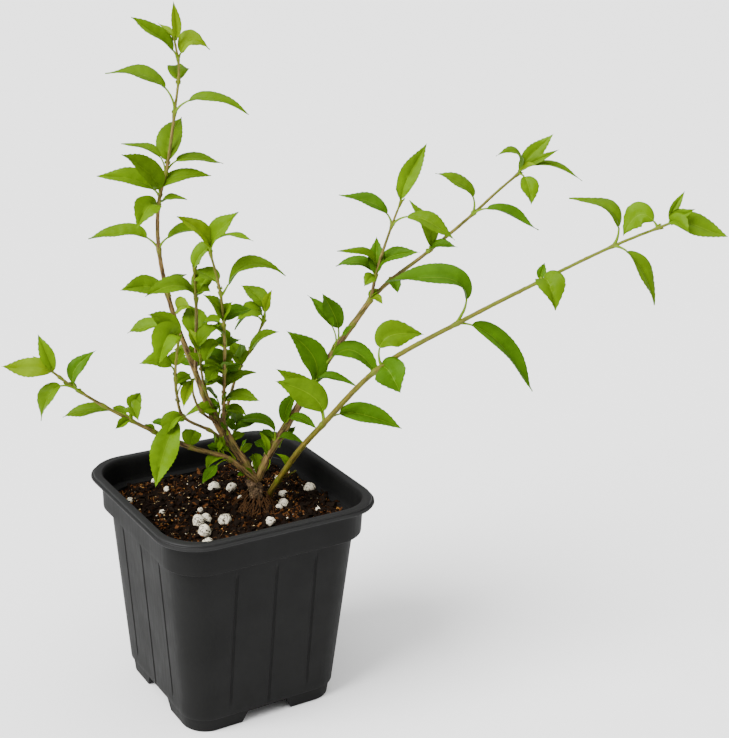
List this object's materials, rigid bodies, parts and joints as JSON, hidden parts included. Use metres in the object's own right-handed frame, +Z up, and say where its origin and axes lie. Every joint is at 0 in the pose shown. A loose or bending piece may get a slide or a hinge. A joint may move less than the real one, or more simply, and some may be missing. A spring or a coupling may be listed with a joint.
{
  "type": "potted forsythia shrub",
  "caption": "Young forsythia shrub with arching leafy stems from one woody stump, growing in a square tapered nursery pot of potting mix.",
  "frame": {"origin": "under the middle of the whole plant and pot in plan, on the surface that the pot stands on", "axes": "+Z up; the pot's four sides are square to X and Y; the long stem reaches towards +X and -Y, and -Y is the front"},
  "size_m": [0.264, 0.2064, 0.3202],
  "materials": {
    "pot_plastic": "moulded black polypropylene, matt satin",
    "potting_mix": "damp peat and bark with white perlite",
    "bark": "thin tan-brown bark with pale corky pores",
    "young_bark": "smooth olive-green bark of this year",
    "leaves": "fresh yellow-green leaf, slightly glossy"
  },
  "bodies": {
    "root": {"pot": "pot_plastic", "soil": "potting_mix", "stump": "bark", "left_bough": "bark", "low_left_stem": "bark", "right_bough": "bark", "long_right_stem": "young_bark", "tall_stem": "bark", "middle_stem": "bark", "inner_left_stem": "bark", "inner_right_stem": "bark", "outer_left_stem": "bark", "right_bough_upper_fork": "bark", "right_bough_outer_fork": "bark", "tall_stem_top_leaves": "leaves", "tall_stem_upper_leaves": "leaves", "tall_stem_middle_leaves": "leaves", "tall_stem_lower_leaves": "leaves", "tall_stem_foot_leaves": "leaves", "middle_stem_top_leaves": "leaves", "middle_stem_upper_leaves": "leaves", "middle_stem_lower_leaves": "leaves", "crown_heart_leaves": "leaves", "inner_left_stem_top_leaf": "leaves", "inner_left_stem_leaves": "leaves", "inner_left_stem_low_leaf": "leaves", "inner_right_stem_top_leaves": "leaves", "inner_right_stem_leaves": "leaves", "outer_left_stem_top_leaves": "leaves", "outer_left_stem_leaves": "leaves", "outer_left_stem_hanging_leaf": "leaves", "low_left_stem_foot_leaves": "leaves", "low_left_stem_inner_leaf": "leaves", "low_left_stem_middle_leaves": "leaves", "low_left_stem_outer_leaves": "leaves", "low_left_stem_tip_leaves": "leaves", "right_bough_foot_leaves": "leaves", "right_bough_middle_leaves": "leaves", "right_bough_upper_leaves": "leaves", "upper_fork_foot_leaves": "leaves", "upper_fork_middle_leaves": "leaves", "upper_fork_tip_leaf": "leaves", "outer_fork_foot_leaves": "leaves", "outer_fork_middle_leaves": "leaves", "outer_fork_tip_leaves": "leaves", "long_stem_foot_leaves": "leaves", "long_stem_lower_leaves": "leaves", "long_stem_middle_leaves": "leaves", "long_stem_upper_leaf": "leaves", "long_stem_outer_leaves": "leaves", "long_stem_tip_leaves": "leaves"}
  },
  "joints": []
}
